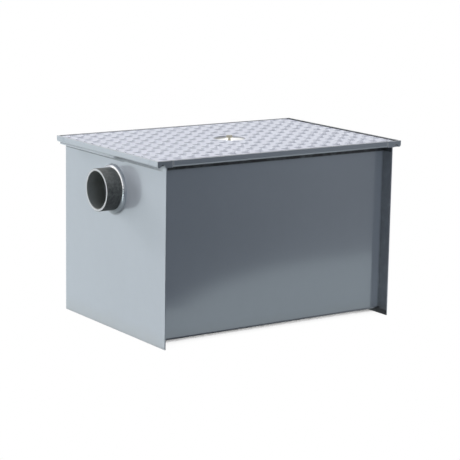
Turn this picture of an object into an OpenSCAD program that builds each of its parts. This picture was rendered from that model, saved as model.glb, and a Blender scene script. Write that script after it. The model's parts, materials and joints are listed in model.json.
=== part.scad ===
// Steel grease trap with a flush tread-plate cover, end plates that serve as feet,
// pipe stubs at both ends, removable baffles and a deep-seal outlet trap.
// Millimetres. Origin on the floor under the centre of the tank, +X from inlet to outlet,
// front wall at -Y, +Z up.

/* [Tank] */
// Length of the tank over the outside of its end plates
tank_l = 573; // [480:1:760]
// Width of the end plates, from front edge to back edge
tank_w = 404; // [340:1:560]
// Height of the end plates, from the floor to the rim
tank_h = 370; // [320:1:520]
// Thickness of the tank's steel sheet
sheet_t = 2.7; // [1.9:0.1:4]
// Depth of the front and back walls behind the end plates' edges
wall_setback = 28; // [16:0.5:45]
// Height of the tank's bottom above the floor
floor_gap = 10; // [4:0.5:25]
// Outside radius of the two bends along the tank's bottom
bend_r = 5; // [4:0.5:12]

/* [Rim] */
// Height of the rim's outside face
rim_h = 13.4; // [10:0.2:22]
// Thickness of the rim's angle section
rim_t = 3; // [2:0.1:4.5]
// Distance that the rim stands out past the end plates
rim_overhang = 20.8; // [14:0.2:35]
// Distance that the rim stands out past the end plates' front and back edges
rim_proud = 1.5; // [0.5:0.1:4]
// Outside radius of the rim's bend
rim_bend_r = 5; // [4.6:0.1:8]
// Distance that the end ledges reach inside the end plates
ledge_lap_end = 12; // [6:0.5:20]
// Distance that the front and back ledges reach inside the walls
ledge_lap_side = 6; // [3:0.5:12]
// Open seam between a corner return and the straight rim beside it
rim_seam = 0.8; // [0.3:0.1:2]
// Depth of the seam groove on the end faces of the rim
seam_depth = 1; // [0.4:0.1:1.6]
// Width of the half-round relief notch at each corner
relief_w = 12.5; // [6:0.5:14]
// Depth of the relief notches at the inlet end, which run on under the ledge
relief_reach = 16; // [4:0.5:20]
// Radius of the weld bead under the inlet end of the rim
rim_bead_r = 2.6; // [1.5:0.1:4]
// Length of that bead, measured from the rim's back corner
rim_bead_l = 240; // [120:1:300]

/* [Pipes] */
// Outside diameter of the pipe stubs
pipe_od = 88.9; // [60.3:0.1:114.3]
// Wall of the pipe stubs
pipe_wall = 5.5; // [3.5:0.1:7]
// Distance that the stubs stand out of the end plates
pipe_stub = 41; // [30:0.5:80]
// Depth of the pipes' centre line below the end plates' top edge
pipe_drop = 72; // [64:0.5:110]
// Radius of the weld bead round each stub, and height of the bevel that it fills
pipe_bead_r = 7.5; // [4:0.1:10]
// Wall that is left at the foot of each stub below its weld bevel
pipe_root = 1.5; // [0.8:0.1:3]

/* [Cover] */
// Thickness of the gasket under the cover
gasket_t = 5.4; // [3:0.1:8]
// Width of the band that the gasket keeps back from the ledge's inner edge
gasket_inset = 3; // [1:0.5:6]
// Thickness of the cover plate without its tread
cover_t = 4.8; // [3:0.1:8]
// Gap between the cover and the rim at the inlet end
cover_gap_inlet = 3.5; // [3:0.5:14]
// Gap between the cover and the rim at the outlet end
cover_gap_outlet = 12; // [3:0.5:14]
// Gap between the cover and the rim at the front and back
cover_gap_side = 6; // [3:0.5:10]
// Distance between tread lugs that lie the same way
lug_pitch = 33; // [24:0.5:40]
// Length of a tread lug
lug_l = 20; // [14:0.5:27]
// Width of a tread lug
lug_w = 10; // [5:0.5:11]
// Height of a tread lug
lug_h = 2; // [0.8:0.1:2.5]

/* [Bolt cup] */
// Inside diameter of the bolt cup at its edge
cup_d = 64; // [50:1:80]
// Diameter of the flat floor of the bolt cup
cup_floor_d = 28; // [24:1:34]
// Depth of the cup's edge below the cover's face
cup_set = 2.2; // [0.4:0.1:2.6]
// Depth of the bolt cup below its edge
cup_depth = 11.8; // [9:0.1:16]
// Thickness of the bolt cup
cup_t = 2; // [1.2:0.1:3]

/* [Cover bolt] */
// Diameter of the cover bolt
bolt_d = 8; // [6:0.5:10]
// Distance across the flats of the bolt's head and of its nut
bolt_af = 13; // [12:0.5:17]
// Height of the bolt's head
bolt_head_h = 5.3; // [4:0.1:7]
// Distance that the bolt stands backed out of its seat
bolt_loose = 10.6; // [4:0.1:12]
// Distance that the bolt can still rise until it is free of its nut
bolt_free = 13; // [10:0.5:20]
// Height of the nut
nut_h = 6.5; // [5:0.1:9]
// Distance that the bolt's tip shows below the nut
bolt_tip = 3.5; // [1:0.1:6]
// Diameter of the washer on the cup's floor
washer_d = 20; // [18:0.5:23]
// Thickness of the washer
washer_t = 1.6; // [1:0.1:2.5]
// Thickness of the sealing ring under the washer
seal_t = 2.5; // [1.5:0.1:4]
// Diameter of the ring that keeps the bolt captive under the cover
retainer_d = 16; // [13:0.5:20]
// Thickness of that ring
retainer_t = 3; // [2:0.1:5]

/* [Crossbar] */
// Width of the crossbar that holds the nut
crossbar_w = 40; // [25:1:60]
// Thickness of the crossbar
crossbar_t = 8; // [5:0.5:12]
// Leg of the angle brackets that carry the crossbar
bracket_leg = 28; // [20:1:40]
// Thickness of the brackets
bracket_t = 4; // [3:0.5:6]

/* [Baffles] */
// Thickness of the baffles and of the trap's sheet
baffle_t = 2; // [1.5:0.1:3]
// Distance of the inlet baffle from the inlet end plate
inlet_baffle_x = 95; // [70:1:130]
// Distance of the centre baffle past the middle of the tank
centre_baffle_x = 70; // [52:1:90]
// Distance of the outlet baffle from the outlet end plate
outlet_baffle_x = 115; // [105:1:130]
// Depth of the baffles' top edges below the end plates' top edge
baffle_drop = 35; // [25:1:60]
// Height of the water way under the inlet and outlet baffles
baffle_gap = 60; // [40:1:90]
// Height of the centre baffle, which the water flows over
centre_baffle_h = 210; // [150:1:240]
// Width of the folded lip along each baffle's top
baffle_lip = 18; // [10:1:24]
// Depth of the guide channels that hold the baffles
guide_depth = 18; // [14:0.5:24]

/* [Outlet trap] */
// Width of the trap box inside the outlet end
trap_w = 130; // [118:1:180]
// Depth of the trap box in from the end plate
trap_depth = 72; // [62:1:80]
// Height of the water way under the trap box
trap_gap = 55; // [40:1:90]
// Height of the trap box's top above the pipe's centre line
trap_rise = 56; // [49:0.5:60]
// Diameter of the clean-out plug
plug_d = 40; // [30:1:46]
// Outside diameter of the air relief tube
vent_d = 21.3; // [13:0.1:26]
// Wall of the air relief tube
vent_wall = 2.8; // [1.5:0.1:3.5]

/* [Hidden] */
$fn = 64;

// Amount by which a cutting shape runs past the face it cuts
over = 1;
// Overlap that makes two shapes of one piece a single solid
bond = 0.2;
// Clearance between a bolt, pin or tube and the hole it passes through freely
hole_play = 0.6;
// Clearance of the bolt in its nut and in its captive ring
thread_play = 0.15;
// Clearance between fixed pieces that are set into each other
set_play = 0.2;
// Clearance on each side of a baffle in its guides
guide_play = 0.6;
// Clearance between a moving piece and what it comes to rest against
rest_play = 0.3;

// Half sizes of the tank and of the rim
half_l = tank_l / 2;
half_w = tank_w / 2;
rim_x = half_l + rim_overhang;
rim_y = half_w + rim_proud;
plate_in_x = half_l - sheet_t;
wall_out_y = half_w - wall_setback;
wall_in_y = wall_out_y - sheet_t;
bottom_in_z = floor_gap + sheet_t;

// Widths of the rim's ledges, and the mouth that they leave open
ledge_end = rim_overhang + sheet_t + ledge_lap_end;
ledge_side = rim_proud + wall_setback + sheet_t + ledge_lap_side;
mouth_x = rim_x - ledge_end;
mouth_y = rim_y - ledge_side;
rim_top = tank_h + rim_h;
rim_in_r = max(rim_bend_r - rim_t, 0.5);

// Levels of the pipes, the gasket and the cover
pipe_z = tank_h - pipe_drop;
pipe_r = pipe_od / 2;
pipe_bore_r = pipe_r - pipe_wall;
pipe_foot_r = pipe_bore_r + pipe_root;
ledge_top = tank_h + rim_t;
cover_under = ledge_top + gasket_t;
cover_top = cover_under + cover_t;
cover_in_x = rim_x - rim_t - cover_gap_inlet;
cover_out_x = rim_x - rim_t - cover_gap_outlet;
cover_l = cover_in_x + cover_out_x;
cover_y = rim_y - rim_t - cover_gap_side;

// The bolt cup is part of a sphere that passes through its edge and the edge of its floor
cup_r = cup_d / 2;
cup_floor_r = cup_floor_d / 2;
cup_edge = cover_top - cup_set;
cup_floor = cup_edge - cup_depth;
cup_under = cup_floor - cup_t;
cup_rise = (cup_r * cup_r - cup_floor_r * cup_floor_r - cup_depth * cup_depth) / (2 * cup_depth);
cup_centre = cup_edge + cup_rise;
cup_sphere_r = norm([cup_r, cup_rise]);
cup_mouth_r = sqrt(pow(cup_sphere_r + cup_t, 2) - pow(cup_rise, 2));

// Levels of the bolt, its captive ring, the crossbar and the nut
head_under = cup_floor + seal_t + washer_t + bolt_loose;
retainer_top = cup_under - bolt_free - rest_play;
crossbar_top = retainer_top - retainer_t - bolt_loose - rest_play;
crossbar_under = crossbar_top - crossbar_t;
nut_under = crossbar_under - nut_h;
bolt_end = nut_under - bolt_tip;

// Places of the baffles and of the trap
baffle_y = mouth_y - 2 * rest_play;
baffle_top = tank_h - baffle_drop;
inlet_baffle_at = -plate_in_x + inlet_baffle_x;
outlet_baffle_at = plate_in_x - outlet_baffle_x;
guide_slot = baffle_t + 2 * guide_play;
guide_from = floor_gap + bend_r;
guide_foot = 6;
trap_at = plate_in_x - trap_depth;
trap_top = pipe_z + trap_rise;
trap_under = bottom_in_z + trap_gap;
trap_mid_x = plate_in_x - trap_depth / 2;
plug_y = -trap_w / 5;
vent_y = trap_w / 3.4;
plug_thread_h = 9;
plug_flange_w = 4;
plug_flange_t = 4;
plug_square = 15;
plug_square_h = 7;
vent_top = cover_under - 8;
vent_reach = 12;

paint = [0.66, 0.69, 0.72];
bare_steel = [0.26, 0.28, 0.28];
zinc = [0.62, 0.55, 0.33];
rubber = [0.12, 0.12, 0.13];
brass = [0.72, 0.58, 0.30];
tread = [0.80, 0.82, 0.86];
bright_plate = [0.88, 0.89, 0.90];

// Quarter ring in the corner of two sheets that meet at a bend; the bend's centre is the origin
module bend_section(outer_r, inner_r) {
    difference() {
        intersection() {
            circle(outer_r);
            translate([-outer_r, -outer_r]) square(outer_r);
        }
        circle(inner_r);
    }
}

// Angle section with its outside faces on the axes: ledge along x, upstand along y
module angle_section(ledge, height) {
    translate([rim_bend_r, 0]) square([ledge - rim_bend_r, rim_t]);
    translate([0, rim_bend_r]) square([rim_t, height - rim_bend_r]);
    translate([rim_bend_r, rim_bend_r]) bend_section(rim_bend_r, rim_in_r);
    translate([rim_bend_r - bond, 0]) square([2 * bond, rim_t]);
    translate([0, rim_bend_r - bond]) square([rim_t, 2 * bond]);
}

// Outline of a corner return, with the rim's bend at its lower outside corner
module return_section(width) {
    translate([rim_bend_r, rim_bend_r]) circle(rim_bend_r);
    translate([rim_bend_r, 0]) square([width - rim_bend_r, rim_h]);
    translate([0, rim_bend_r]) square([width, rim_h - rim_bend_r]);
}

// Folded sheet that makes the front wall, the bottom and the back wall
module tank_wrapper() {
    inner_r = max(bend_r - sheet_t, 0.5);
    flat_y = wall_out_y - bend_r;
    color(paint) rotate([90, 0, 90]) translate([0, 0, -plate_in_x]) linear_extrude(2 * plate_in_x) {
        translate([-flat_y - bond, floor_gap]) square([2 * (flat_y + bond), sheet_t]);
        for (side = [0, 1]) mirror([side, 0]) {
            translate([-wall_out_y, floor_gap + bend_r - bond]) square([sheet_t, tank_h - floor_gap - bend_r + bond]);
            translate([-flat_y, floor_gap + bend_r]) bend_section(bend_r, inner_r);
        }
    }
}

// End plate, standing on the floor, with the water way of its pipe
module end_plate(side) {
    color(paint) difference() {
        translate([side * (half_l - sheet_t / 2), 0, tank_h / 2]) cube([sheet_t, tank_w, tank_h], center = true);
        translate([side * half_l, 0, pipe_z]) rotate([0, 90, 0])
            cylinder(r = pipe_bore_r, h = 2 * sheet_t + 2 * over, center = true);
    }
}

module inlet_end_plate() { end_plate(-1); }

module outlet_end_plate() { end_plate(1); }

// Rim across one end: ledge and upstand, with a return and a relief notch at each corner
module rim_end(notch_reach) {
    color(paint) difference() {
        union() {
            translate([-rim_x, rim_y, tank_h]) rotate([90, 0, 0])
                linear_extrude(2 * rim_y) angle_section(ledge_end, rim_h);
            for (side = [0, 1]) mirror([0, side, 0])
                translate([-rim_x, -rim_y + rim_t, tank_h]) rotate([90, 0, 0])
                    linear_extrude(rim_t) return_section(ledge_end);
        }
        for (side = [0, 1]) mirror([0, side, 0]) {
            translate([-rim_x + ledge_end / 3, -rim_y - over, tank_h]) rotate([-90, 0, 0])
                cylinder(d = relief_w, h = notch_reach + over);
            translate([-rim_x - over, -wall_out_y - rim_seam, tank_h - over])
                cube([seam_depth + over, rim_seam, rim_h + 2 * over]);
        }
    }
}

module rim_inlet() { rim_end(relief_reach); }

module rim_outlet() { mirror([1, 0, 0]) rim_end(rim_t); }

// Straight rim along one side, butted between the corner returns
module rim_side() {
    length = 2 * (mouth_x - rim_seam);
    color(paint) translate([-length / 2, -rim_y, tank_h]) rotate([90, 0, 90])
        linear_extrude(length) angle_section(ledge_side, rim_h);
}

module rim_front() { rim_side(); }

module rim_back() { mirror([0, 1, 0]) rim_side(); }

// Weld bead along the underside of the inlet rim's back half, running out to a point
module rim_weld_bead() {
    run_out = 8 * rim_bead_r;
    color(paint) translate([-rim_x + rim_bend_r + rim_bead_r, rim_y - rim_bend_r, tank_h - rim_bead_r])
        rotate([90, 0, 0]) {
            cylinder(r = rim_bead_r, h = rim_bead_l - run_out);
            translate([0, 0, rim_bead_l - run_out]) rotate_extrude()
                polygon([[0, 0], [rim_bead_r, 0], [0, run_out]]);
        }
}

// Pipe stub set on the outside of an end plate, its foot bevelled for the weld
module pipe_stub_at(side) {
    color(bare_steel) translate([side * half_l, 0, pipe_z]) rotate([0, side * 90, 0]) rotate_extrude()
        polygon([[pipe_bore_r, 0], [pipe_foot_r, 0], [pipe_r, pipe_bead_r], [pipe_r, pipe_stub],
            [pipe_bore_r, pipe_stub]]);
}

module inlet_pipe() { pipe_stub_at(-1); }

module outlet_pipe() { pipe_stub_at(1); }

// Weld between a stub and its end plate: it fills the stub's bevel and stands round it as a bead
module pipe_weld_at(side) {
    color(paint) translate([side * half_l, 0, pipe_z]) rotate([0, side * 90, 0]) rotate_extrude() {
        polygon([[pipe_foot_r, 0], [pipe_r + bond, 0], [pipe_r + bond, pipe_bead_r - 2 * bond], [pipe_r, pipe_bead_r]]);
        intersection() {
            translate([pipe_r, 0]) circle(pipe_bead_r);
            translate([pipe_r, 0]) square(pipe_bead_r);
        }
    }
}

module inlet_pipe_weld() { pipe_weld_at(-1); }

module outlet_pipe_weld() { pipe_weld_at(1); }

// Removable baffle: a plate with a folded lip along its top, facing the inlet
module baffle(at_x, from_z, to_z) {
    color(paint) translate([at_x - baffle_t / 2, -baffle_y, from_z]) union() {
        cube([baffle_t, 2 * baffle_y, to_z - from_z]);
        translate([-baffle_lip, 0, to_z - from_z - baffle_t]) cube([baffle_lip + bond, 2 * baffle_y, baffle_t]);
    }
}

module inlet_baffle() { baffle(inlet_baffle_at, bottom_in_z + baffle_gap, baffle_top); }

module centre_baffle() { baffle(centre_baffle_x, bottom_in_z, bottom_in_z + centre_baffle_h); }

module outlet_baffle() { baffle(outlet_baffle_at, bottom_in_z + baffle_gap, baffle_top); }

// Pair of channels on the front and back walls; a foot closes each channel where the baffle rests
module baffle_guides(at_x, foot_z, to_z, has_foot) {
    outer_w = guide_slot + 2 * baffle_t;
    from_z = has_foot ? foot_z - guide_foot : guide_from;
    height = to_z - from_z;
    color(paint) for (side = [0, 1]) mirror([0, side, 0])
        translate([at_x - outer_w / 2, -wall_in_y, from_z]) union() {
            cube([outer_w, baffle_t, height]);
            for (leg = [0, 1]) translate([leg * (guide_slot + baffle_t), 0, 0])
                cube([baffle_t, guide_depth, height]);
            if (has_foot) cube([outer_w, guide_depth, guide_foot]);
        }
}

module inlet_baffle_guides() {
    baffle_guides(inlet_baffle_at, bottom_in_z + baffle_gap, baffle_top - baffle_lip, true);
}

module centre_baffle_guides() {
    baffle_guides(centre_baffle_x, bottom_in_z, bottom_in_z + centre_baffle_h - baffle_lip, false);
}

module outlet_baffle_guides() {
    baffle_guides(outlet_baffle_at, bottom_in_z + baffle_gap, baffle_top - baffle_lip, true);
}

// Box welded inside the outlet end, open at the bottom, that keeps the floating grease from the pipe
module outlet_trap() {
    color(paint) difference() {
        translate([trap_at, -trap_w / 2, trap_under]) cube([trap_depth, trap_w, trap_top - trap_under]);
        translate([trap_at + baffle_t, -trap_w / 2 + baffle_t, trap_under - over])
            cube([trap_depth, trap_w - 2 * baffle_t, trap_top - trap_under - baffle_t + over]);
        translate([trap_mid_x, plug_y, trap_top - baffle_t - over])
            cylinder(d = plug_d + 2 * set_play, h = baffle_t + 2 * over);
        translate([trap_mid_x, vent_y, trap_top - baffle_t - over])
            cylinder(d = vent_d + 2 * set_play, h = baffle_t + 2 * over);
    }
}

// Plug with a flange and a square head, in the top of the trap box
module trap_cleanout_plug() {
    color(brass) translate([trap_mid_x, plug_y, trap_top]) union() {
        translate([0, 0, -plug_thread_h]) cylinder(d = plug_d, h = plug_thread_h + bond);
        cylinder(d = plug_d + 2 * plug_flange_w, h = plug_flange_t);
        translate([-plug_square / 2, -plug_square / 2, plug_flange_t - bond])
            cube([plug_square, plug_square, plug_square_h + bond]);
    }
}

// Short vent tube through the top of the trap box
module air_relief_tube() {
    color(bare_steel) translate([trap_mid_x, vent_y, trap_top - vent_reach]) difference() {
        cylinder(d = vent_d, h = vent_top - trap_top + vent_reach);
        translate([0, 0, -over]) cylinder(d = vent_d - 2 * vent_wall, h = vent_top - trap_top + vent_reach + 2 * over);
    }
}

// Flat bar from wall to wall under the middle of the cover
module crossbar() {
    color(paint) difference() {
        translate([-crossbar_w / 2, -wall_in_y + set_play, crossbar_under])
            cube([crossbar_w, 2 * (wall_in_y - set_play), crossbar_t]);
        translate([0, 0, crossbar_under - over]) cylinder(d = bolt_d + 2 * hole_play, h = crossbar_t + 2 * over);
    }
}

// Angle brackets that carry the crossbar on the front and back walls
module crossbar_brackets() {
    color(paint) for (side = [0, 1]) mirror([0, side, 0])
        translate([-crossbar_w / 2, -wall_in_y, crossbar_under - bracket_leg]) union() {
            cube([crossbar_w, bracket_t, bracket_leg]);
            translate([0, 0, bracket_leg - bracket_t]) cube([crossbar_w, bracket_leg, bracket_t]);
        }
}

// Nut welded under the crossbar
module crossbar_nut() {
    color(zinc) translate([0, 0, nut_under]) difference() {
        cylinder(d = bolt_af / cos(30), h = nut_h, $fn = 6);
        translate([0, 0, -over]) cylinder(d = bolt_d + 2 * thread_play, h = nut_h + 2 * over);
    }
}

// Flat rubber gasket between the ledge and the cover
module cover_gasket() {
    inner_x = mouth_x + gasket_inset;
    inner_y = mouth_y + gasket_inset;
    color(rubber) translate([0, 0, ledge_top]) difference() {
        translate([-cover_in_x, -cover_y, 0]) cube([cover_l, 2 * cover_y, gasket_t]);
        translate([-inner_x, -inner_y, -over]) cube([2 * inner_x, 2 * inner_y, gasket_t + 2 * over]);
    }
}

// Raised lug: a long hexagon with pointed ends
module lug_outline() {
    shoulder = lug_l / 6;
    polygon([[lug_l / 2, 0], [shoulder, lug_w / 2], [-shoulder, lug_w / 2],
        [-lug_l / 2, 0], [-shoulder, -lug_w / 2], [shoulder, -lug_w / 2]]);
}

// Rows of lugs that lie one way; shift moves the rows by part of a pitch
module lug_rows(shift, turn) {
    reach = (lug_l + lug_w) / 2 * sin(45);
    first_x = ceil((reach - cover_in_x) / lug_pitch - shift);
    last_x = floor((cover_out_x - reach) / lug_pitch - shift);
    last_y = floor((cover_y - reach) / lug_pitch - shift);
    first_y = -last_y - 2 * shift;
    clear_r = cup_mouth_r + lug_l / 2;
    for (i = [first_x : last_x], j = [first_y : last_y]) {
        x = (i + shift) * lug_pitch;
        y = (j + shift) * lug_pitch;
        if (norm([x, y]) > clear_r)
            translate([x, y, cover_top - bond]) rotate(turn) linear_extrude(lug_h + bond) lug_outline();
    }
}

// Tread plate with the hole for the bolt cup
module cover_plate() {
    color(tread) union() {
        difference() {
            translate([-cover_in_x, -cover_y, cover_under]) cube([cover_l, 2 * cover_y, cover_t]);
            translate([0, 0, cover_under - over]) cylinder(r = cup_mouth_r + set_play, h = cover_t + 2 * over);
        }
        lug_rows(0, 45);
        lug_rows(0.5, -45);
    }
}

// Round dish with a flat floor, set in the hole in the cover's middle
module bolt_cup() {
    sphere_out = cup_sphere_r + cup_t;
    color(bright_plate) difference() {
        intersection() {
            translate([0, 0, cup_centre]) sphere(sphere_out, $fn = 96);
            translate([0, 0, cup_under]) cylinder(r = sphere_out, h = cup_depth + cup_t);
        }
        intersection() {
            translate([0, 0, cup_centre]) sphere(cup_sphere_r, $fn = 96);
            translate([0, 0, cup_floor]) cylinder(r = sphere_out, h = cup_depth + over);
        }
        translate([0, 0, cup_under - over]) cylinder(d = bolt_d + 2 * hole_play, h = cup_t + 2 * over);
    }
}

// Flat ring on the bolt's axis
module ring_at(outer_d, play, from_z, height) {
    translate([0, 0, from_z]) difference() {
        cylinder(d = outer_d, h = height);
        translate([0, 0, -over]) cylinder(d = bolt_d + 2 * play, h = height + 2 * over);
    }
}

module bolt_seal() { color(rubber) ring_at(washer_d, hole_play, cup_floor, seal_t); }

module bolt_washer() { color(zinc) ring_at(washer_d, hole_play, cup_floor + seal_t, washer_t); }

module bolt_retainer() { color(rubber) ring_at(retainer_d, thread_play, retainer_top - retainer_t, retainer_t); }

// Hexagon bolt that holds the cover down, shown backed out of its seat
module cover_bolt() {
    color(zinc) union() {
        translate([0, 0, head_under]) cylinder(d = bolt_af / cos(30), h = bolt_head_h, $fn = 6);
        translate([0, 0, bolt_end]) cylinder(d = bolt_d, h = head_under - bolt_end + bond);
    }
}

tank_wrapper();
inlet_end_plate();
outlet_end_plate();
rim_inlet();
rim_outlet();
rim_front();
rim_back();
rim_weld_bead();
inlet_pipe();
outlet_pipe();
inlet_pipe_weld();
outlet_pipe_weld();
inlet_baffle();
centre_baffle();
outlet_baffle();
inlet_baffle_guides();
centre_baffle_guides();
outlet_baffle_guides();
outlet_trap();
trap_cleanout_plug();
air_relief_tube();
crossbar();
crossbar_brackets();
crossbar_nut();
cover_gasket();
cover_plate();
bolt_cup();
bolt_seal();
bolt_washer();
bolt_retainer();
cover_bolt();
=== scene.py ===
import json
import math

import bmesh
import bpy
from mathutils import Matrix, Vector


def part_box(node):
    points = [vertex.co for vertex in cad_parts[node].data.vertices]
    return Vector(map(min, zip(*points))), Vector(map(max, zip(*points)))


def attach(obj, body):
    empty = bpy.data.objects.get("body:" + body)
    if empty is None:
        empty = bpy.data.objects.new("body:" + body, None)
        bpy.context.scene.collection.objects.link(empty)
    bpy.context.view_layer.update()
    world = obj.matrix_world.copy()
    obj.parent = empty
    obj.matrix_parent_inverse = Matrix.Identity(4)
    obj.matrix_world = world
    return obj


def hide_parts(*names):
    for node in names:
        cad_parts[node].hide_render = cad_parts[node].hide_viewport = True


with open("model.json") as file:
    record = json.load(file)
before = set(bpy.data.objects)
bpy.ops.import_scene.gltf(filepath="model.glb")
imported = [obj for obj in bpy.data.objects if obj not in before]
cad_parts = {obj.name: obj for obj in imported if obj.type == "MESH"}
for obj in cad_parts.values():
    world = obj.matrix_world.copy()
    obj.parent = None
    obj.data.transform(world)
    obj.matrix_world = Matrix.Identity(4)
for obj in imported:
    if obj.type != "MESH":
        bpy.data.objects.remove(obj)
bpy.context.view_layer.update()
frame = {"nodes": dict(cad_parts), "record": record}

# Grease trap: painted tank on plate feet, flush tread-plate cover with a bolt in a dished cup.
# Metres, in the frame's own axes: inlet at -X, front wall at -Y, floor at Z 0.

MM = 0.001
UP = Vector((0, 0, 1))

RECORD = frame["record"]
SLOT_OF = {part["node"]: part["material_slot"] for part in RECORD["subparts"]}
BODY_OF = {node: body for body, nodes in RECORD["behaviour"]["bodies"].items() for node in nodes}

# Meshes: gap in which points merge, angle within which triangles are one face, angle of a sharp edge,
# steps of a rounded edge, and how firmly large faces stay flat
MERGE_GAP = 0.002 * MM
FLAT_ANGLE = math.radians(0.5)
SHARP_ANGLE = math.radians(32)
EDGE_SEGMENTS = 2
LARGE_FACE_WEIGHT = 50

# Turned pieces: steps round large, small and welded ones, and points on a rounded edge
TURN_STEPS = 96
SMALL_TURN_STEPS = 48
WELD_TURN_STEPS = 192
ROUND_EDGE_POINTS = 4

# Width of the rounded edges of the pieces that keep the solids' own forms
SHEET_EDGE = 0.45 * MM
FINE_EDGE = 0.3 * MM
GASKET_EDGE = 1.0 * MM
EDGES = (
    (SHEET_EDGE, ("tank_wrapper", "inlet_end_plate", "outlet_end_plate")),
    (SHEET_EDGE, ("rim_inlet", "rim_outlet", "rim_front", "rim_back")),
    (0, ("rim_weld_bead",)),
    (FINE_EDGE, ("inlet_baffle", "centre_baffle", "outlet_baffle")),
    (FINE_EDGE, ("inlet_baffle_guides", "centre_baffle_guides", "outlet_baffle_guides")),
    (FINE_EDGE, ("outlet_trap", "trap_cleanout_plug")),
    (SHEET_EDGE, ("crossbar",)),
    (FINE_EDGE, ("crossbar_brackets", "crossbar_nut")),
    (GASKET_EDGE, ("cover_gasket",)),
)

# Pipe stubs: wall, blunt root and broken edges of the mouth; wall of the vent tube
PIPE_WALL = 5.5 * MM
PIPE_ROOT = 1.5 * MM
MOUTH_CHAMFER = 0.8 * MM
VENT_WALL = 2.8 * MM

# Weld beads of the pipes: points across, ripples round and depth of a ripple as a share of the bead
BEAD_POINTS = 9
BEAD_RIPPLES = 54
BEAD_RIPPLE_DEPTH = 0.045

# Tread of the cover: lattice and lug sizes, depth of a lug in the plate, corners of its outline,
# how pointed its ends are, and the height and width of its rings as shares of its own
LUG_PITCH = 33 * MM
LUG_LENGTH = 20 * MM
LUG_WIDTH = 10 * MM
LUG_HEIGHT = 2 * MM
LUG_SUNK = 0.4 * MM
LUG_SIDES = 16
LUG_POINT = 0.35
LUG_TURN = math.radians(45)
LUG_RINGS = ((0.30, 0.90), (0.58, 0.75), (0.81, 0.56), (0.95, 0.34), (1.0, 0.12))
# Shift along the lattice and turn of the two sets of lugs
LUG_SETS = ((0, LUG_TURN), (0.5, -LUG_TURN))
FACING_UP = 0.9
PLATE_EDGE = 0.5 * MM

# Bolt cup: play in the cover's hole, height of the tool that cuts the hole, wall, radius of its mouth,
# floor and bolt hole, and points on its side
CUP_PLAY = 0.2 * MM
HOLE_CUTTER = 100 * MM
CUP_WALL = 2 * MM
CUP_R = 32 * MM
CUP_FLOOR_R = 14 * MM
BOLT_HOLE_R = 4.6 * MM
CUP_POINTS = 14

# Cover bolt: head, its chamfer and washer face, shank and thread; the ridge's foot is a share of the pitch
HEAD_FLAT = 13 * MM
HEAD_HEIGHT = 5.3 * MM
HEAD_SIDES = 6
HEAD_CHAMFER = math.radians(30)
HEAD_FACE_SHARE = 0.96
HEAD_SKIRT_SHARE = 1.2
FACE_HEIGHT = 0.5 * MM
SHANK_R = 4 * MM
TIP_TAPER = 1.2 * MM
THREAD_PITCH = 1.25 * MM
THREAD_DEPTH = 0.65 * MM
THREAD_SUNK = 0.1 * MM
THREAD_FOOT_SHARE = 0.46
THREAD_STEPS = 20

# Rings under the bolt's head and on its shank
SEAL_EDGE = 0.6 * MM
WASHER_EDGE = 0.25 * MM
RETAINER_EDGE = 0.6 * MM
RETAINER_PLAY = 0.15 * MM

# Planes of the tank that its painted shade and highlights follow
RIM_THICK = 3 * MM
RIM_LOW, RIM_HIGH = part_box("rim_outlet")
RIM_FACE_X = RIM_HIGH.x - RIM_THICK
RIM_FACE_Y = RIM_HIGH.y - RIM_THICK
SEAM_X = -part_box("rim_front")[0].x
BEAD_END_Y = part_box("rim_weld_bead")[0].y
PLATE_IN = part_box("outlet_end_plate")[0].x
PLATE_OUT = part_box("outlet_end_plate")[1].x
TANK_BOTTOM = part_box("tank_wrapper")[0].z
FRONT_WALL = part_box("tank_wrapper")[0].y
BACK_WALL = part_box("tank_wrapper")[1].y
PIPE_LOW, PIPE_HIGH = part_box("outlet_pipe")
PIPE_R = (PIPE_HIGH.z - PIPE_LOW.z) / 2
PIPE_AXIS_Z = (PIPE_LOW.z + PIPE_HIGH.z) / 2
CUP_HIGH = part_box("bolt_cup")[1]

# Soft edge of the painted shade and highlights
SOFT = 0.4 * MM
# Painted shade on the top edge of the rim's outlet and back sides
RIM_TOP_SHADE = 0.75
# Painted shade under the rim on the walls: depth of the band, its fade and its strength
WALL_BAND = 12 * MM
WALL_BAND_FADE = 2 * MM
WALL_BAND_SHADE = 0.95
# The same on the end plates, deeper past the end of the rim's bead, and where it starts at the front corner
PLATE_BAND = 10.4 * MM
PLATE_BAND_BEAD = 12.4 * MM
PLATE_BAND_FADE = 1.2 * MM
PLATE_BAND_SHADE = 0.6
BEAD_FADE = 4 * MM
BAND_FROM = 12 * MM
BAND_FULL = 26 * MM
# Painted shade beside the end plates: its width, its strength, and its strength and height at the foot
BESIDE_PLATE = 5 * MM
CORNER_SHADE = 0.5
FOOT_SHADE = 0.97
FOOT_HIGH = 4 * MM
# Light painted shade on the front face of the rim's inlet corner
CORNER_RETURN_SHADE = 0.22
CORNER_RETURN_FADE = 4 * MM
# Wedge of painted shade at the lower outlet corner of the walls: its length, its reach under the tank and
# onto the end plate, its slope, soft edge and strength
WEDGE_LONG = 26 * MM
WEDGE_UNDER = 15 * MM
WEDGE_ON_PLATE = (4 * MM, 10 * MM)
WEDGE_RISE = 0.22
WEDGE_SOFT = 1 * MM
WEDGE_SHADE = 0.95
# Painted highlights: pale lines where the rim's sides meet its ends, and their width
SEAM_HIGHLIGHT_WIDE = 2 * MM
# Painted highlight of bright metal along the pipes' welds: width, overlap onto the pipe, soft edge, height
# above the plate, the side where it shows, in Y and Z, and where it starts and is full on that side
TOE_HIGHLIGHT = 4.5 * MM
TOE_INSIDE = 1 * MM
TOE_SOFT = 0.6 * MM
TOE_PROUD = 0.5 * MM
TOE_SIDE = Vector((-0.8, 0.6))
TOE_FROM = 0.45
TOE_FULL = 0.75
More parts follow.
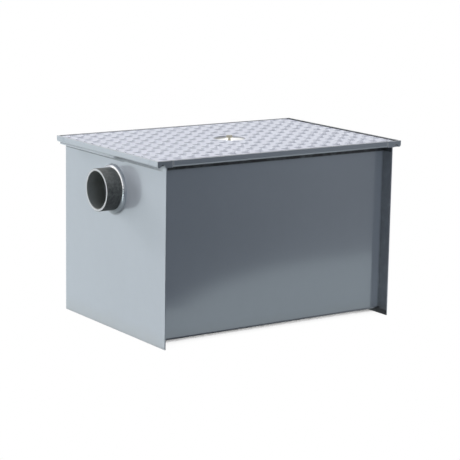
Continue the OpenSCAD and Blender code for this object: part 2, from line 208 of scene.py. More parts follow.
# Painted shade on the lower half of the pipes' welds: reach from the pipe, soft edge, strength, and top in
# radii
WELD_SHADE_REACH = 9 * MM
WELD_SHADE_SOFT = 3 * MM
WELD_SHADE = 0.45
WELD_SHADE_TOP = -0.45
# Painted shade under the cup's edge: the side where it is deepest, in X and Y, where it deepens, its least
# and greatest depth, its fade and its strength
CUP_SHADE_SIDE = Vector((-0.18, 0.98))
CUP_SHADE_FROM = 0.1
CUP_SHADE_FULL = 0.9
CUP_SHADE_DEPTH = (0.6 * MM, 3.4 * MM)
CUP_SHADE_FADE = (-0.8 * MM, 0.4 * MM)
CUP_SHADE = 0.65

# Noise patterns: size per metre, detail and roughness
SLOW_MOTTLE = (6.0, 3.0, 0.5)
CLOUD_MOTTLE = (38.0, 4.0, 0.6)
PAINT_SPECKS = (900.0, 1.0, 0.5)
SHEET_WAVES = (5.0, 1.0, 0.5)
SCRATCH_LINES = (1.0, 2.0, 0.5)
SCRATCH_PATCHES = (9.0, 2.0, 0.5)
RAGGED_DUST = (26.0, 4.0, 0.5)
SHADE_PATCHES = (60.0, 3.0, 0.5)
RUBBER_BLOOM = (30.0, 3.0, 0.5)
# Stretch and turn of the two directions of scratches
SCRATCH_WAYS = (((9, 9, 420), (0.5, 0.3, 0.2)), ((380, 14, 14), (0.2, 0.1, 0.9)))
# Coarse grain's size as a share of the fine grain's, and the fine grain's share of both
COARSE_GRAIN = 0.22
FINE_SHARE = 0.55
# Share of the slow mottle in the paint's tone, and of the orange peel in its relief
SLOW_SHARE = 0.6
PEEL_SHARE = 0.05
# Values of the patterns between which their masks start and are full
SPECK_EDGE = (0.66, 0.78)
SCRATCH_EDGE = (0.69, 0.75)
SCRATCH_PATCH_EDGE = (0.5, 0.72)
DUST_EDGE = (-0.6, 0.7)
GRAIN_EDGE = (0.36, 0.64)
SHADE_PATCH_EDGE = (0.25, 0.6)
BLOOM_EDGE = (0.5, 0.8)
SHADE_THINNEST = 0.75
BLOOM = 0.35

# Size of the paint's orange peel, and of the grain of the other finishes
PEEL_SIZE = 420.0
PIPE_GRAIN = 760.0
RUBBER_GRAIN = 700.0
CUP_GRAIN = 240.0
ZINC_GRAIN = 300.0
BRASS_GRAIN = 180.0

# Tones
TANK_GREY = (0.560, 0.603, 0.664, 1)
INSIDE_GREY = (0.40, 0.44, 0.48, 1)
TREAD_GREY = (0.70, 0.713, 0.785, 1)
SPECK_SHADE = (0.82, 0.82, 0.82, 1)
SCRATCH_GREY = (0.72, 0.74, 0.77, 1)
DUST = (0.50, 0.49, 0.46, 1)
# Near-black tone of the painted shade on the tank, the pipes and the cup
SHADE_TONE = (0.035, 0.036, 0.035, 1)
# Bright metal tone of the painted highlights on the rim's corner joints and the pipes' welds
HIGHLIGHT_TONE = (0.93, 0.94, 0.95, 1)
CUT_STEEL = (0.76, 0.77, 0.78, 1)
SCALE_DARK = (0.042, 0.045, 0.043, 1)
SCALE_LIGHT = (0.205, 0.215, 0.208, 1)
BORE_GREY = (0.50, 0.52, 0.50, 1)
CUP_TONES = ((0.86, 0.87, 0.87, 1), (0.94, 0.945, 0.94, 1))
ZINC_TONES = ((0.27, 0.26, 0.21, 1), (0.52, 0.49, 0.40, 1))
BRASS_TONES = ((0.50, 0.36, 0.14, 1), (0.78, 0.60, 0.28, 1))
RUBBER_DARK = (0.018, 0.018, 0.020, 1)
RUBBER_LIGHT = (0.040, 0.040, 0.043, 1)
RUBBER_DUSTY = (0.11, 0.11, 0.11, 1)
WHITE = (1, 1, 1, 1)

# Paint's clear coat and its dielectric shine
COAT_ROUGHNESS = 0.12
COAT_IOR = 1.8
PAINT_SHINE = 0.5
TREAD_SHINE = 0.02
# Pipe's scale: painted shade below and painted light on top, with their reach in radii, paler bore, gleam
# of the cut ends, and soft edges of the cut ends and of the bore
PIPE_SHADE = 0.75
PIPE_SHADE_REACH = (-1.0, 0.2)
PIPE_TOP_LIGHT = 0.30
PIPE_TOP_LIGHT_REACH = (0.1, 0.9)
BORE_PALE = 0.58
CUT_GLEAM = 0.35
CUT_DEPTH = (0.2 * MM, 0.1 * MM)
BORE_EDGE = (0.3 * MM, 0.6 * MM)
# Least and greatest roughness of the finishes, and strength and depth of their relief
PAINT_ROUGHNESS = (0.40, 0.44)
PIPE_ROUGHNESS = (0.55, 0.8)
METAL_ROUGHNESS = (0.42, 0.26)
RUBBER_ROUGHNESS = (0.6, 0.85)
PAINT_RELIEF = (0.35, 0.4 * MM)
PIPE_RELIEF = (0.6, 0.35 * MM)
METAL_RELIEF = (0.2, 0.1 * MM)
RUBBER_RELIEF = (0.3, 0.1 * MM)

# Floor: its size, the share of open sky at which it is fully white to the camera and its tone with none,
# the same for the narrow gap under the tank, how far it looks for what covers it, and its bounced light
FLOOR_SIZE = 40.0
FLOOR_OPEN = 0.5
FLOOR_FAINT = 0.90
FLOOR_NARROW = 0.03
FLOOR_COVERED = 0.05
FLOOR_SEARCH = 0.25
FLOOR_BOUNCE = (0.125, 0.13, 0.135, 1)
# Painted reflection: the floor glows in reflections only, bright up to a curved line in front of the tank,
# and dark past it. The line's start at the outlet side, end at the inlet side, place, curve and soft edge
REFLECTION_BRIGHT = (0.87, 1.0, 1.04, 1)
NEAR_LINE_FROM = 0.52
NEAR_LINE_TO = -0.06
NEAR_LINE_AT = -0.683
NEAR_LINE_CURVE = 0.70
NEAR_LINE_SOFT = 0.05
# Past the line the painted reflection is lighter on the outlet side: two tones, reach and slant of the
# change
REFLECTION_DARK = (0.0, 0.0, 0.0, 1)
REFLECTION_LIGHTER = (0.28, 0.30, 0.32, 1)
LIGHTER_REACH = 0.27
LIGHTER_SLANT = 0.6925
# Half length and half width of the painted shadow of the tank in the painted reflection, and its soft edge
UNDER_X = 0.270
UNDER_Y = 0.195
UNDER_SOFT = 0.03

# Sky light, and the lamps: the direction towards the lamp, its strength as a share of full light, its spread
# in degrees, its colour and whether it shows in reflections
AMBIENT = (0.115, 0.125, 0.137, 1)
NEUTRAL = (1, 1, 1)
COOL = (0.86, 0.97, 1.12)
LAMPS = {
    "back_left_low": ((-0.50, 0.86, 0.02), 0.36, 24, NEUTRAL, False),
    "left_fill": ((-0.97, 0.22, 0.08), 0.49, 30, NEUTRAL, False),
    "back_left": ((-0.17, 0.92, 0.34), 0.48, 16, NEUTRAL, False),
    "back_right": ((0.92, 0.17, 0.34), 1.12, 16, NEUTRAL, False),
    "overhead": ((0, 0, 1), 0.20, 24, NEUTRAL, True),
    "front_fill": ((-0.20, -0.86, 0.38), 0.085, 24, COOL, False),
}

# Camera, fitted to the photograph's straight edges; lens and sensor in millimetres
CAMERA_PLACE = Vector((-2.11514, -3.09213, 0.93032))
CAMERA_AIM = Vector((-0.0626, -0.1001, 0.2059))
CAMERA_ROLL = math.radians(0.98)
CAMERA_LENS = 138.14
SENSOR = 36.0


# Modelling steps

def deselect():
    """Leaves nothing selected."""
    bpy.ops.object.select_all(action="DESELECT")


def only(piece):
    """Leaves one piece selected and active."""
    deselect()
    piece.select_set(True)
    bpy.context.view_layer.objects.active = piece


def start_edit(piece, kind, action="SELECT"):
    """Opens a piece in edit mode, with everything selected or nothing."""
    only(piece)
    bpy.ops.object.mode_set(mode="EDIT")
    bpy.ops.mesh.select_mode(type=kind)
    bpy.ops.mesh.select_all(action=action)


def end_edit():
    """Goes back to object mode."""
    bpy.ops.object.mode_set(mode="OBJECT")


def pick_faces(piece, wanted):
    """Selects the faces whose centre and normal pass a test."""
    mesh = bmesh.from_edit_mesh(piece.data)
    for face in mesh.faces:
        face.select_set(wanted(face.calc_center_median(), face.normal))
    bmesh.update_edit_mesh(piece.data)


def modify(piece, kind, **settings):
    """Adds a modifier with its settings and applies it."""
    only(piece)
    step = piece.modifiers.new(kind.lower(), kind)
    for name, value in settings.items():
        setattr(step, name, value)
    bpy.ops.object.modifier_apply(modifier=step.name)


def soften(piece, width):
    """Rounds the sharp edges of a piece."""
    modify(piece, "BEVEL", width=width, segments=EDGE_SEGMENTS, limit_method="ANGLE",
           angle_limit=SHARP_ANGLE)


def smooth(piece):
    """Shades rounded edges smoothly and keeps the large faces flat."""
    only(piece)
    bpy.ops.object.shade_smooth_by_angle(angle=SHARP_ANGLE)
    modify(piece, "WEIGHTED_NORMAL", mode="FACE_AREA", weight=LARGE_FACE_WEIGHT, keep_sharp=True)


def settle(piece):
    """Puts a piece's place, turn and scale into its mesh."""
    only(piece)
    bpy.ops.object.transform_apply(location=True, rotation=True, scale=True)


def face_outwards():
    """Turns the faces of the mesh in edit mode outwards."""
    bpy.ops.mesh.select_all(action="SELECT")
    bpy.ops.mesh.normals_make_consistent(inside=False)


def close_up(piece):
    """Merges the doubles of a mesh and turns its faces outwards."""
    start_edit(piece, "VERT")
    bpy.ops.mesh.remove_doubles(threshold=MERGE_GAP)
    bpy.ops.mesh.dissolve_degenerate(threshold=MERGE_GAP)
    face_outwards()
    end_edit()


def join(main, *others):
    """Makes several pieces one."""
    only(main)
    for other in others:
        other.select_set(True)
    bpy.ops.object.join()
    return main


def cut(piece, cutter, operation):
    """Cuts a piece with another mesh, which is then removed."""
    modify(piece, "BOOLEAN", operation=operation, object=cutter, solver="EXACT")
    bpy.data.objects.remove(cutter)


def hand_over(piece, node):
    """Finishes a piece that stands for a CAD node: its name, finish, body and slot."""
    smooth(piece)
    piece.name = node + "_piece"
    piece.data.name = piece.name
    piece.data.materials.clear()
    piece.data.materials.append(MATERIALS[SLOT_OF[node]])
    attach(piece, BODY_OF[node])
    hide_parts(node)


def edged_copy(node, edge):
    """Copy of a CAD solid, with its triangles merged into whole faces and its edges rounded."""
    piece = bpy.data.objects.new(node + "_piece", frame["nodes"][node].data.copy())
    bpy.context.scene.collection.objects.link(piece)
    start_edit(piece, "VERT")
    bpy.ops.mesh.remove_doubles(threshold=MERGE_GAP)
    bpy.ops.mesh.dissolve_limited(angle_limit=FLAT_ANGLE)
    end_edit()
    if edge:
        soften(piece, edge)
    return piece


def turned(profile, centre, axis=UP, steps=TURN_STEPS):
    """Turns a closed profile of (radius, height) points about an axis, as on a lathe."""
    across = axis.orthogonal().normalized()
    deselect()
    bpy.ops.mesh.primitive_circle_add(vertices=len(profile), fill_type="NOTHING")
    piece = bpy.context.object
    for vertex, (radius, height) in zip(piece.data.vertices, profile):
        vertex.co = centre + across * radius + axis * height
    start_edit(piece, "VERT")
    bpy.ops.mesh.spin(steps=steps, angle=math.tau, center=centre, axis=axis)
    end_edit()
    close_up(piece)
    return piece


def arc(centre_r, centre_h, radius, start, end, points):
    """Points of an arc in a turned profile; the angles are in degrees from the outward radius."""
    turns = [math.radians(start + (end - start) * i / (points - 1)) for i in range(points)]
    return [(centre_r + radius * math.cos(turn), centre_h + radius * math.sin(turn)) for turn in turns]


def ring_profile(inner, outer, height, edge):
    """Profile of a flat ring with rounded edges."""
    corners = ((outer - edge, edge, -90), (outer - edge, height - edge, 0),
               (inner + edge, height - edge, 90), (inner + edge, edge, 180))
    profile = []
    for centre_r, centre_h, start in corners:
        profile += arc(centre_r, centre_h, edge, start, start + 90, ROUND_EDGE_POINTS)
    return profile


# Shader steps

def plug(tree, socket, value):
    """Links a socket to an input, or sets the input to a number or colour."""
    if isinstance(value, bpy.types.NodeSocket):
        tree.links.new(value, socket)
    else:
        socket.default_value = value


def add(tree, kind, **inputs):
    """Adds a node; inputs are numbers, colours or sockets, with _ for a space in their names."""
    made = tree.nodes.new(kind)
    for name, value in inputs.items():
        plug(tree, made.inputs[name.replace("_", " ")], value)
    return made


def split(tree, place):
    """X, Y and Z of a place."""
    return add(tree, "ShaderNodeSeparateXYZ", Vector=place).outputs


def calc(tree, operation, first, second=0.0):
    """One step of arithmetic."""
    made = tree.nodes.new("ShaderNodeMath")
    made.operation = operation
    plug(tree, made.inputs[0], first)
    plug(tree, made.inputs[1], second)
    return made.outputs[0]


def weighted(tree, first, first_share, second, second_share):
    """Sum of two values, each times its share."""
    return calc(tree, "ADD", calc(tree, "MULTIPLY", first, first_share),
                calc(tree, "MULTIPLY", second, second_share))


def product(tree, *masks):
    """Masks multiplied together."""
    result = masks[0]
    for mask in masks[1:]:
        result = calc(tree, "MULTIPLY", result, mask)
    return result


def most(tree, *masks):
    """The strongest of several masks."""
    result = masks[0]
    for mask in masks[1:]:
        result = calc(tree, "MAXIMUM", result, mask)
    return result


def span(tree, value, low, high, to_low=0.0, to_high=1.0):
    """Maps a value from one range to another, held at the ends."""
    made = tree.nodes.new("ShaderNodeMapRange")
    made.clamp = True
    for socket, number in zip(made.inputs, (value, low, high, to_low, to_high)):
        plug(tree, socket, number)
    return made.outputs[0]


def fade_in(tree, value, low, high, full=1.0):
    """Mask that rises from none to full between two values."""
    return span(tree, value, low, high, 0.0, full)


def fade_out(tree, value, low, high, full=1.0):
    """Mask that falls from full to none between two values."""
    return span(tree, value, low, high, full, 0.0)


def window(tree, value, low, high, soft):
    """Mask that is full between two values and fades out just past them."""
    return product(tree, fade_in(tree, value, low - soft, low), fade_out(tree, value, high, high + soft))


def blend(tree, factor, first, second, way="MIX"):
    """Blend of two colours."""
    made = tree.nodes.new("ShaderNodeMix")
    made.data_type = "RGBA"
    made.blend_type = way
    for index, value in ((0, factor), (6, first), (7, second)):
        plug(tree, made.inputs[index], value)
    return made.outputs[2]


def mix_shaders(tree, factor, first, second):
    """Mix of two shaders."""
    made = tree.nodes.new("ShaderNodeMixShader")
    for socket, value in zip(made.inputs, (factor, first, second)):
        plug(tree, socket, value)
    return made.outputs[0]


def noise(tree, place, pattern):
    """Noise with a size, detail and roughness."""
    scale, detail, roughness = pattern
    made = add(tree, "ShaderNodeTexNoise", Vector=place, Scale=scale, Detail=detail, Roughness=roughness)
    return made.outputs["Fac"]


def stretch(tree, place, scale, turn):
    """Place scaled and turned for a pattern."""
    return add(tree, "ShaderNodeMapping", Vector=place, Scale=scale, Rotation=turn).outputs["Vector"]


def new_group(name, inputs, outputs):
    """Shader node group with named sockets; returns the tree and its inside ends."""
    tree = bpy.data.node_groups.new(name, "ShaderNodeTree")
    kinds = {"value": "NodeSocketFloat", "colour": "NodeSocketColor", "vector": "NodeSocketVector"}
    for sockets, way in ((inputs, "INPUT"), (outputs, "OUTPUT")):
        for label, kind in sockets.items():
            tree.interface.new_socket(label, in_out=way, socket_type=kinds[kind])
    return tree, tree.nodes.new("NodeGroupInput").outputs, tree.nodes.new("NodeGroupOutput").inputs


def place_group(tree, group, **inputs):
    """Places a node group with its inputs, with _ for a space in their names."""
    made = tree.nodes.new("ShaderNodeGroup")
    made.node_tree = group
    for name, value in inputs.items():
        plug(tree, made.inputs[name.replace("_", " ")], value)
    return made.outputs


def new_material(name):
    """Material with a Principled shader; returns its tree, shader and object coordinates."""
    material = bpy.data.materials.new(name)
    material.use_nodes = True
    tree = material.node_tree
    shader = tree.nodes["Principled BSDF"]
    place = tree.nodes.new("ShaderNodeTexCoord").outputs["Object"]
    return material, tree, shader, place


def bump(tree, shader, height, strength, distance):
    """Relief on a material."""
    made = add(tree, "ShaderNodeBump", Height=height, Strength=strength, Distance=distance)
    tree.links.new(made.outputs["Normal"], shader.inputs["Normal"])


# Shared effects

def paint_film_group():
    """Sprayed paint: slow mottling, fine specks, orange peel and the sheet's slow waves."""
    tree, given, put = new_group(
        "paint_film",
        {"Place": "vector", "Colour": "colour", "Mottle": "value", "Peel size": "value"},
        {"Colour": "colour", "Roughness": "value", "Height": "value"})
    slow = noise(tree, given["Place"], SLOW_MOTTLE)
    cloud = noise(tree, given["Place"], CLOUD_MOTTLE)
    uneven = weighted(tree, slow, SLOW_SHARE, cloud, 1 - SLOW_SHARE)
    shift = calc(tree, "MULTIPLY", calc(tree, "SUBTRACT", uneven, 0.5), given["Mottle"])
    toned = blend(tree, 1.0, given["Colour"], calc(tree, "ADD", 1.0, shift), "MULTIPLY")
    darker = blend(tree, 1.0, toned, SPECK_SHADE, "MULTIPLY")
    specks = fade_in(tree, noise(tree, given["Place"], PAINT_SPECKS), *SPECK_EDGE)
    tree.links.new(blend(tree, specks, toned, darker), put["Colour"])
    tree.links.new(span(tree, slow, 0.3, 0.7, *PAINT_ROUGHNESS), put["Roughness"])
    peel = noise(tree, given["Place"], (given["Peel size"], 2.0, 0.5))
    waves = noise(tree, given["Place"], SHEET_WAVES)
    tree.links.new(weighted(tree, peel, PEEL_SHARE, waves, 1.0), put["Height"])
    return tree


def scuff_group():
    """Thin handling scratches in two directions, as a mask."""
    tree, given, put = new_group("scuffs", {"Place": "vector", "Amount": "value"}, {"Mask": "value"})
    ways = []
    for scale, turn in SCRATCH_WAYS:
        lines = noise(tree, stretch(tree, given["Place"], scale, turn), SCRATCH_LINES)
        ways.append(fade_in(tree, lines, *SCRATCH_EDGE))
    patches = fade_in(tree, noise(tree, given["Place"], SCRATCH_PATCHES), *SCRATCH_PATCH_EDGE)
    tree.links.new(product(tree, most(tree, *ways), patches, given["Amount"]), put["Mask"])
    return tree


def floor_dust_group():
    """Dust that gathers near the floor, as a mask that fades with height."""
    tree, given, put = new_group("floor_dust", {"Place": "vector", "Reach": "value"}, {"Mask": "value"})
    ragged = calc(tree, "MULTIPLY", noise(tree, given["Place"], RAGGED_DUST), given["Reach"])
    level = calc(tree, "SUBTRACT", split(tree, given["Place"])["Z"], ragged)
    share = calc(tree, "DIVIDE", level, given["Reach"])
    tree.links.new(fade_out(tree, share, *DUST_EDGE), put["Mask"])
    return tree


def speckle_group():
    """Coarse and fine grain of raw or moulded surfaces."""
    tree, given, put = new_group("speckle", {"Place": "vector", "Size": "value"},
                                 {"Mask": "value", "Height": "value"})
    fine = noise(tree, given["Place"], (given["Size"], 3.0, 0.65))
    coarse_size = calc(tree, "MULTIPLY", given["Size"], COARSE_GRAIN)
    coarse = noise(tree, given["Place"], (coarse_size, 3.0, 0.5))
    both = weighted(tree, fine, FINE_SHARE, coarse, 1 - FINE_SHARE)
    tree.links.new(fade_in(tree, both, *GRAIN_EDGE), put["Mask"])
    tree.links.new(both, put["Height"])
    return tree


# Painted shade and painted highlights on the tank, its pipes' welds and the cup, each a mask

def gap_shade(tree, axes, off_x, off_y):
    """Painted shade in the gap round the cover and on the rim's far top edges."""
    in_gap = product(tree, fade_out(tree, off_x, RIM_FACE_X, RIM_FACE_X + SOFT),
                     fade_out(tree, off_y, RIM_FACE_Y, RIM_FACE_Y + SOFT),
                     window(tree, axes["Z"], RIM_LOW.z + RIM_THICK, RIM_HIGH.z - 2 * SOFT, SOFT))
    far_sides = most(tree, fade_in(tree, axes["X"], RIM_FACE_X - SOFT, RIM_FACE_X),
                     fade_in(tree, axes["Y"], RIM_FACE_Y - SOFT, RIM_FACE_Y))
    top = fade_in(tree, axes["Z"], RIM_HIGH.z - 2 * SOFT, RIM_HIGH.z - SOFT, RIM_TOP_SHADE)
    return most(tree, in_gap, product(tree, far_sides, top))


def under_rim_shade(tree, axes, off_x, below_rim):
    """Bands of painted shade under the rim, on the walls and on the outer faces of the end plates."""
    band_low = RIM_LOW.z - WALL_BAND
    on_wall = product(tree, below_rim, fade_in(tree, axes["Z"], band_low, band_low + WALL_BAND_FADE),
                      fade_out(tree, off_x, PLATE_IN, PLATE_IN + SOFT, WALL_BAND_SHADE))
    band_depth = span(tree, axes["Y"], BEAD_END_Y - BEAD_FADE, BEAD_END_Y + BEAD_FADE,
                      PLATE_BAND, PLATE_BAND_BEAD)
    past_band = calc(tree, "SUBTRACT", calc(tree, "SUBTRACT", RIM_LOW.z, axes["Z"]), band_depth)
    on_plate = product(tree, below_rim, fade_out(tree, past_band, -PLATE_BAND_FADE, 0.0, PLATE_BAND_SHADE),
                       fade_in(tree, axes["Y"], BAND_FROM - RIM_HIGH.y, BAND_FULL - RIM_HIGH.y),
                       fade_in(tree, off_x, PLATE_OUT - SOFT, PLATE_OUT - SOFT / 2),
                       fade_out(tree, off_x, PLATE_OUT + SOFT, PLATE_OUT + 2 * SOFT))
    return most(tree, on_wall, on_plate)


def corner_shade(tree, axes, off_x, off_y, below_rim):
    """Painted shade in the corners between the walls and the end plates, strongest at the foot."""
    outside = most(tree, fade_in(tree, off_y, BACK_WALL - SOFT, BACK_WALL - SOFT / 2),
                   fade_out(tree, axes["Z"], TANK_BOTTOM - SOFT, TANK_BOTTOM))
    beside = window(tree, off_x, PLATE_IN - SOFT, PLATE_IN + SOFT, BESIDE_PLATE)
    inner_face = fade_out(tree, off_x, PLATE_IN + SOFT, PLATE_IN + 2 * SOFT)
    strength = span(tree, axes["Z"], TANK_BOTTOM, TANK_BOTTOM + FOOT_HIGH, FOOT_SHADE, CORNER_SHADE)
    return product(tree, below_rim, outside, beside, inner_face, strength)


def wedge_shade(tree, axes, off_y):
    """Wedge of painted shade at the lower outlet corner of the walls."""
    start = PLATE_IN - WEDGE_LONG
    inner_y = BACK_WALL - WEDGE_UNDER
    plate_from, plate_to = WEDGE_ON_PLATE
    slope = calc(tree, "MULTIPLY", calc(tree, "SUBTRACT", axes["X"], start), WEDGE_RISE)
    over = calc(tree, "SUBTRACT", calc(tree, "SUBTRACT", axes["Z"], TANK_BOTTOM), slope)
    return product(tree, fade_in(tree, axes["X"], start, start + WEDGE_SOFT),
                   fade_in(tree, off_y, inner_y, inner_y + WEDGE_SOFT),
                   fade_out(tree, over, -WEDGE_SOFT, 0.0, WEDGE_SHADE),
                   fade_out(tree, off_y, BACK_WALL + plate_from, BACK_WALL + plate_to),
                   fade_out(tree, axes["X"], PLATE_IN + SOFT, PLATE_IN + 2 * SOFT))


def corner_return_shade(tree, axes, rim_front_face):
    """Light painted shade on the front face of the rim's inlet corner."""
    return product(tree, rim_front_face,
                   fade_out(tree, axes["X"], -SEAM_X - CORNER_RETURN_FADE, -SEAM_X, CORNER_RETURN_SHADE),
                   fade_in(tree, axes["Z"], RIM_LOW.z - SOFT, RIM_LOW.z))


def tank_painted_light_group():
    """Painted shade on the tank and painted highlights on its rim's corner joints, as masks."""
    tree, given, put = new_group("tank_painted_light", {"Place": "vector"}, {"Painted shade": "value", "Seam highlights": "value"})
    axes = split(tree, given["Place"])
    off_x = calc(tree, "ABSOLUTE", axes["X"])
    off_y = calc(tree, "ABSOLUTE", axes["Y"])
    below_rim = fade_out(tree, axes["Z"], RIM_LOW.z - SOFT, RIM_LOW.z)
    rim_front_face = fade_out(tree, axes["Y"], SOFT - RIM_HIGH.y, 2 * SOFT - RIM_HIGH.y)
    worst = most(tree, gap_shade(tree, axes, off_x, off_y), under_rim_shade(tree, axes, off_x, below_rim),
                 corner_shade(tree, axes, off_x, off_y, below_rim), wedge_shade(tree, axes, off_y),
                 corner_return_shade(tree, axes, rim_front_face))
    uneven = noise(tree, given["Place"], SHADE_PATCHES)
    patches = span(tree, uneven, *SHADE_PATCH_EDGE, SHADE_THINNEST, 1.0)
    tree.links.new(product(tree, worst, patches), put["Painted shade"])
    # Painted highlights: pale lines on the rim's front face where its sides meet its ends
    seam_highlights = window(tree, off_x, SEAM_X - SEAM_HIGHLIGHT_WIDE / 2, SEAM_X + SEAM_HIGHLIGHT_WIDE / 2, SEAM_HIGHLIGHT_WIDE)
    tree.links.new(product(tree, rim_front_face, seam_highlights), put["Seam highlights"])
    return tree


def from_pipe_axis(tree, axes):
    """Height above the pipes' axis and distance from it."""
    lift = calc(tree, "SUBTRACT", axes["Z"], PIPE_AXIS_Z)
    squares = calc(tree, "ADD", calc(tree, "MULTIPLY", axes["Y"], axes["Y"]),
                   calc(tree, "MULTIPLY", lift, lift))
    return lift, calc(tree, "SQRT", squares)


def weld_light_group():
    """Painted bright-metal highlight on a weld's upper front and painted shade on its lower half, as masks.
    """
    tree, given, put = new_group("weld_light", {"Place": "vector"}, {"Weld highlight": "value", "Weld shade": "value"})
    axes = split(tree, given["Place"])
    off_x = calc(tree, "ABSOLUTE", axes["X"])
    lift, away = from_pipe_axis(tree, axes)
    # Painted highlight on the weld's upper front
    toe = window(tree, away, PIPE_R - TOE_INSIDE, PIPE_R + TOE_HIGHLIGHT, TOE_SOFT)
    lean = weighted(tree, lift, TOE_SIDE.y, axes["Y"], TOE_SIDE.x)
    side = fade_in(tree, calc(tree, "DIVIDE", lean, PIPE_R), TOE_FROM, TOE_FULL)
    proud = fade_in(tree, off_x, PLATE_OUT + TOE_PROUD, PLATE_OUT + 2 * TOE_PROUD)
    tree.links.new(product(tree, toe, side, proud), put["Weld highlight"])
    # Painted shade on the weld's lower half
    near = window(tree, away, PIPE_R - TOE_INSIDE, PIPE_R + WELD_SHADE_REACH, WELD_SHADE_SOFT)
    lower = fade_out(tree, calc(tree, "DIVIDE", lift, PIPE_R), -1.0, WELD_SHADE_TOP, WELD_SHADE)
    outer = fade_in(tree, off_x, PLATE_OUT - TOE_PROUD, PLATE_OUT)
    tree.links.new(product(tree, near, lower, outer), put["Weld shade"])
    return tree


def cup_shade_group():
    """Painted shade under the cup's edge, deeper on one side, as a mask."""
    tree, given, put = new_group("cup_shade", {"Place": "vector"}, {"Mask": "value"})
    axes = split(tree, given["Place"])
    lean = weighted(tree, axes["X"], CUP_SHADE_SIDE.x, axes["Y"], CUP_SHADE_SIDE.y)
    reach = span(tree, calc(tree, "DIVIDE", lean, CUP_HIGH.x), CUP_SHADE_FROM, CUP_SHADE_FULL,
                 *CUP_SHADE_DEPTH)
    past = calc(tree, "SUBTRACT", calc(tree, "SUBTRACT", CUP_HIGH.z, axes["Z"]), reach)
    tree.links.new(fade_out(tree, past, *CUP_SHADE_FADE, CUP_SHADE), put["Mask"])
    return tree


PAINT_FILM = paint_film_group()
SCUFFS = scuff_group()
FLOOR_DUST = floor_dust_group()
SPECKLE = speckle_group()
TANK_PAINTED_LIGHT = tank_painted_light_group()
WELD_LIGHT = weld_light_group()
CUP_SHADE_MASK = cup_shade_group()


# Finishes

def painted(name, colour, mottle, scratch, gloss, coat, shine=PAINT_SHINE, dust=0.0, dust_reach=0.0,
            with_painted_light=False):
    """Grey paint on sheet steel: scratches, floor dust and, if asked, painted shade and highlights."""
    material, tree, shader, place = new_material(name)
    film = place_group(tree, PAINT_FILM, Place=place, Colour=colour, Mottle=mottle, Peel_size=PEEL_SIZE)
    lines = place_group(tree, SCUFFS, Place=place, Amount=scratch)["Mask"]
    tone = blend(tree, lines, film["Colour"], SCRATCH_GREY)
    if dust:
        low_dust = place_group(tree, FLOOR_DUST, Place=place, Reach=dust_reach)["Mask"]
        tone = blend(tree, calc(tree, "MULTIPLY", low_dust, dust), tone, DUST)
    if with_painted_light:
        tank = place_group(tree, TANK_PAINTED_LIGHT, Place=place)
        weld = place_group(tree, WELD_LIGHT, Place=place)
        # Painted shade and painted highlights of the tank and the pipes' welds
        shaded = most(tree, tank["Painted shade"], weld["Weld shade"])
        tone = blend(tree, shaded, tone, SHADE_TONE)
        # Painted highlights on the rim's corner joints
        tone = blend(tree, tank["Seam highlights"], tone, HIGHLIGHT_TONE)
        # Painted highlight: bright metal with a metal shine on the welds' upper fronts
        tone = blend(tree, weld["Weld highlight"], tone, HIGHLIGHT_TONE)
        gloss = span(tree, weld["Weld highlight"], 0.0, 1.0, gloss, gloss / 2)
        tree.links.new(weld["Weld highlight"], shader.inputs["Metallic"])
        tree.links.new(span(tree, shaded, 0.0, 1.0, coat, 0.0), shader.inputs["Coat Weight"])
    else:
        shader.inputs["Coat Weight"].default_value = coat
    tree.links.new(tone, shader.inputs["Base Color"])
    tree.links.new(calc(tree, "MULTIPLY", film["Roughness"], gloss), shader.inputs["Roughness"])
    shader.inputs["Specular IOR Level"].default_value = shine
    shader.inputs["Coat Roughness"].default_value = COAT_ROUGHNESS
    shader.inputs["Coat IOR"].default_value = COAT_IOR
    bump(tree, shader, film["Height"], *PAINT_RELIEF)
    return material


def mill_scale(name):
    """Dark rolled pipe: speckled scale, painted shade below and light on top, paler bore, bright cut ends.
    """
    material, tree, shader, place = new_material(name)
    grain = place_group(tree, SPECKLE, Place=place, Size=PIPE_GRAIN)
    axes = split(tree, place)
    lift, away = from_pipe_axis(tree, axes)
    height = calc(tree, "DIVIDE", lift, PIPE_R)
    bore = PIPE_R - PIPE_WALL
    bore_from, bore_to = BORE_EDGE
    cut_from, cut_to = CUT_DEPTH
    tone = blend(tree, grain["Mask"], SCALE_DARK, SCALE_LIGHT)
    # Painted shade below the pipe's axis and painted light on its top
    tone = blend(tree, fade_out(tree, height, *PIPE_SHADE_REACH, PIPE_SHADE), tone, SHADE_TONE)
    tone = blend(tree, fade_in(tree, height, *PIPE_TOP_LIGHT_REACH, PIPE_TOP_LIGHT), tone, DUST)
    inside = fade_out(tree, away, bore + bore_from, bore + bore_to, BORE_PALE)
    tone = blend(tree, inside, tone, BORE_GREY)
    off_x = calc(tree, "ABSOLUTE", axes["X"])
    cut_end = fade_in(tree, off_x, PIPE_HIGH.x - cut_from, PIPE_HIGH.x - cut_to)
    tree.links.new(blend(tree, cut_end, tone, CUT_STEEL), shader.inputs["Base Color"])
    tree.links.new(span(tree, grain["Mask"], 0.0, 1.0, *PIPE_ROUGHNESS), shader.inputs["Roughness"])
    tree.links.new(calc(tree, "MULTIPLY", cut_end, CUT_GLEAM), shader.inputs["Metallic"])
    bump(tree, shader, grain["Height"], *PIPE_RELIEF)
    return material


